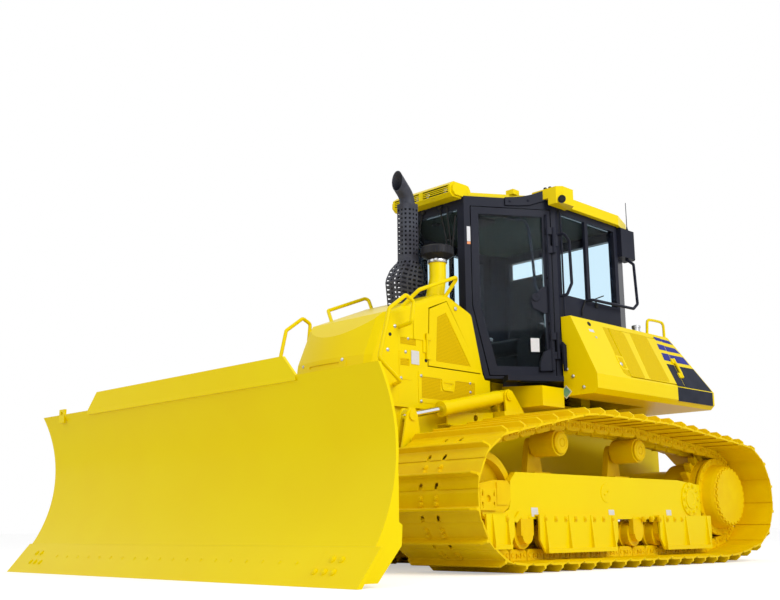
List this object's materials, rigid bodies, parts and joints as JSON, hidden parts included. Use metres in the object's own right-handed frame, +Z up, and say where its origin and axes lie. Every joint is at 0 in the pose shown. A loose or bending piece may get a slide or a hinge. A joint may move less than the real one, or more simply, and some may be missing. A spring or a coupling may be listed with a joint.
{
  "type": "crawler bulldozer",
  "caption": "Crawler bulldozer with an angling and tilting blade, a slanted nose, a closed six-sided cab, and hinged cab, engine and service doors.",
  "frame": {"origin": "on the ground under the middle of the machine's box", "axes": "+X forward to the blade, +Y to the machine's left, +Z up"},
  "size_m": [5.557, 3.86, 3.239],
  "materials": {
    "yellow_paint": "gloss",
    "dark_paint": "satin",
    "cast_yellow": "satin",
    "smoke_black": "matte",
    "chrome_rod": "polished",
    "window_glass": "clear",
    "trim_plastic": "matte",
    "seat_cloth": "woven"
  },
  "bodies": {
    "chassis": {"main_frame": "yellow_paint", "drawbar": "yellow_paint", "engine_block": "smoke_black", "hood": "yellow_paint", "nose_cowl": "yellow_paint", "grab_rails": "yellow_paint", "exhaust_stack": "smoke_black", "exhaust_guard": "smoke_black", "precleaner": "trim_plastic", "cab_frame": "dark_paint", "cab_roof": "yellow_paint", "cab_glass": "window_glass", "cab_interior": "trim_plastic", "operator_seat": "seat_cloth", "cab_steps": "dark_paint", "cab_grab_bars": "dark_paint", "antenna": "dark_paint", "rear_body": "yellow_paint", "fender_decks": "yellow_paint", "roller_guards": "yellow_paint", "track_rollers": "cast_yellow", "carrier_rollers": "cast_yellow", "side_body_left": "yellow_paint", "side_body_right": "yellow_paint", "track_frame_left": "yellow_paint", "track_frame_right": "yellow_paint", "track_left": "cast_yellow", "track_right": "cast_yellow", "idler_left": "cast_yellow", "idler_right": "cast_yellow", "sprocket_left": "cast_yellow", "sprocket_right": "cast_yellow"},
    "c_frame": {"c_frame": "yellow_paint"},
    "knuckle": {"blade_knuckle": "yellow_paint"},
    "blade": {"moldboard": "yellow_paint", "cutting_edge": "yellow_paint"},
    "tilt_barrel": {"tilt_barrel": "yellow_paint"},
    "tilt_rod": {"tilt_rod": "chrome_rod"},
    "rear_grille": {"rear_grille": "dark_paint"},
    "cab_door_left": {"cab_door_left": "dark_paint", "door_glass_left": "window_glass"},
    "engine_door_left": {"engine_door_left": "yellow_paint"},
    "body_door_left": {"body_door_left": "yellow_paint"},
    "lift_barrel_left": {"lift_barrel_left": "yellow_paint"},
    "lift_rod_left": {"lift_rod_left": "chrome_rod"},
    "angle_yoke_left": {"angle_yoke_left": "yellow_paint"},
    "angle_barrel_left": {"angle_barrel_left": "yellow_paint"},
    "angle_rod_left": {"angle_rod_left": "chrome_rod"},
    "cab_door_right": {"cab_door_right": "dark_paint", "door_glass_right": "window_glass"},
    "engine_door_right": {"engine_door_right": "yellow_paint"},
    "body_door_right": {"body_door_right": "yellow_paint"},
    "lift_barrel_right": {"lift_barrel_right": "yellow_paint"},
    "lift_rod_right": {"lift_rod_right": "chrome_rod"},
    "angle_yoke_right": {"angle_yoke_right": "yellow_paint"},
    "angle_barrel_right": {"angle_barrel_right": "yellow_paint"},
    "angle_rod_right": {"angle_rod_right": "chrome_rod"}
  },
  "joints": [
    {"name": "blade_lift", "type": "hinge", "parent": "chassis", "child": "c_frame", "pos_m": [-0.5985, 0, 0.48], "axis": [0, 1, 0], "range_deg": [-18.5, 9]},
    {"name": "blade_angle", "type": "hinge", "parent": "c_frame", "child": "knuckle", "pos_m": [2.0815, 0, 0.52], "axis": [0, 0, 1], "range_deg": [-25, 25]},
    {"name": "blade_tilt", "type": "hinge", "parent": "knuckle", "child": "blade", "pos_m": [2.0815, 0, 0.52], "axis": [1, 0, 0], "range_deg": [-6, 6]},
    {"name": "lift_barrel_left_pin", "type": "hinge", "parent": "chassis", "child": "lift_barrel_left", "pos_m": [-0.0905, 0.57, 1.322], "axis": [0, 1, 0], "range_deg": [-26.61, 13.05]},
    {"name": "lift_rod_left_slide", "type": "slide", "parent": "lift_barrel_left", "child": "lift_rod_left", "axis": [0.978, 0, -0.2084], "range_m": [-0.28118, 0.13782]},
    {"name": "lift_barrel_right_pin", "type": "hinge", "parent": "chassis", "child": "lift_barrel_right", "pos_m": [-0.0905, -0.57, 1.322], "axis": [0, 1, 0], "range_deg": [-26.61, 13.05]},
    {"name": "lift_rod_right_slide", "type": "slide", "parent": "lift_barrel_right", "child": "lift_rod_right", "axis": [0.978, 0, -0.2084], "range_m": [-0.28118, 0.13782]},
    {"name": "angle_yoke_left_turn", "type": "hinge", "parent": "c_frame", "child": "angle_yoke_left", "pos_m": [1.6315, 0.25, 0.74], "axis": [0, 0, 1], "range_deg": [-22.84, 22.84]},
    {"name": "angle_barrel_left_pitch", "type": "hinge", "parent": "angle_yoke_left", "child": "angle_barrel_left", "pos_m": [1.6315, 0.25, 0.74], "axis": [0.7486, -0.663, 0], "range_deg": [-6.3, 6.3]},
    {"name": "angle_rod_left_slide", "type": "slide", "parent": "angle_barrel_left", "child": "angle_rod_left", "axis": [0.663, 0.7486, 0], "range_m": [-0.21633, 0.21633]},
    {"name": "angle_yoke_right_turn", "type": "hinge", "parent": "c_frame", "child": "angle_yoke_right", "pos_m": [1.6315, -0.25, 0.74], "axis": [0, 0, 1], "range_deg": [-22.84, 22.84]},
    {"name": "angle_barrel_right_pitch", "type": "hinge", "parent": "angle_yoke_right", "child": "angle_barrel_right", "pos_m": [1.6315, -0.25, 0.74], "axis": [-0.7486, -0.663, 0], "range_deg": [-6.3, 6.3]},
    {"name": "angle_rod_right_slide", "type": "slide", "parent": "angle_barrel_right", "child": "angle_rod_right", "axis": [0.663, -0.7486, 0], "range_m": [-0.21633, 0.21633]},
    {"name": "tilt_barrel_pin", "type": "hinge", "parent": "knuckle", "child": "tilt_barrel", "pos_m": [2.0865, -0.13, 0.93], "axis": [1, 0, 0], "range_deg": [-5.37, 5.37]},
    {"name": "tilt_rod_slide", "type": "slide", "parent": "tilt_barrel", "child": "tilt_rod", "axis": [0.1541, 0.9881, 0], "range_m": [-0.0454, 0.0454]},
    {"name": "cab_door_left_hinge", "type": "hinge", "parent": "chassis", "child": "cab_door_left", "pos_m": [-0.52245, 0.80025, 2.2], "axis": [0, 0, 1], "range_deg": [0, 100]},
    {"name": "engine_door_left_hinge", "type": "hinge", "parent": "chassis", "child": "engine_door_left", "pos_m": [0.6765, 0.452, 1.65], "axis": [0, 0, -1], "range_deg": [0, 100]},
    {"name": "body_door_left_hinge", "type": "hinge", "parent": "chassis", "child": "body_door_left", "pos_m": [-1.9425, 1.07013, 1.67808], "axis": [0, -0.4219, 0.9066], "range_deg": [0, 90]},
    {"name": "cab_door_right_hinge", "type": "hinge", "parent": "chassis", "child": "cab_door_right", "pos_m": [-0.52245, -0.80025, 2.2], "axis": [0, 0, -1], "range_deg": [0, 100]},
    {"name": "engine_door_right_hinge", "type": "hinge", "parent": "chassis", "child": "engine_door_right", "pos_m": [0.6765, -0.452, 1.65], "axis": [0, 0, 1], "range_deg": [0, 100]},
    {"name": "body_door_right_hinge", "type": "hinge", "parent": "chassis", "child": "body_door_right", "pos_m": [-1.9425, -1.07013, 1.67808], "axis": [0, -0.4219, -0.9066], "range_deg": [0, 90]},
    {"name": "rear_grille_hinge", "type": "hinge", "parent": "chassis", "child": "rear_grille", "pos_m": [-2.09818, 0, 1.97847], "axis": [0, 1, 0], "range_deg": [0, 80]}
  ],
  "couplings": [
    {"joint": "lift_barrel_left_pin", "follows": "blade_lift", "ratio": 1.4278},
    {"joint": "lift_rod_left_slide", "follows": "blade_lift", "m_per_rad": 0.86465},
    {"joint": "lift_barrel_right_pin", "follows": "blade_lift", "ratio": 1.4278},
    {"joint": "lift_rod_right_slide", "follows": "blade_lift", "m_per_rad": 0.86465},
    {"joint": "angle_yoke_left_turn", "follows": "blade_angle", "ratio": 0.90548},
    {"joint": "angle_barrel_left_pitch", "follows": "blade_tilt", "ratio": 1.0159},
    {"joint": "angle_rod_left_slide", "follows": "blade_angle", "m_per_rad": -0.4912},
    {"joint": "angle_yoke_right_turn", "follows": "blade_angle", "ratio": 0.90548},
    {"joint": "angle_barrel_right_pitch", "follows": "blade_tilt", "ratio": -1.0159},
    {"joint": "angle_rod_right_slide", "follows": "blade_angle", "m_per_rad": 0.4912},
    {"joint": "tilt_barrel_pin", "follows": "blade_tilt", "ratio": 0.86122},
    {"joint": "tilt_rod_slide", "follows": "blade_tilt", "m_per_rad": -0.41445}
  ]
}
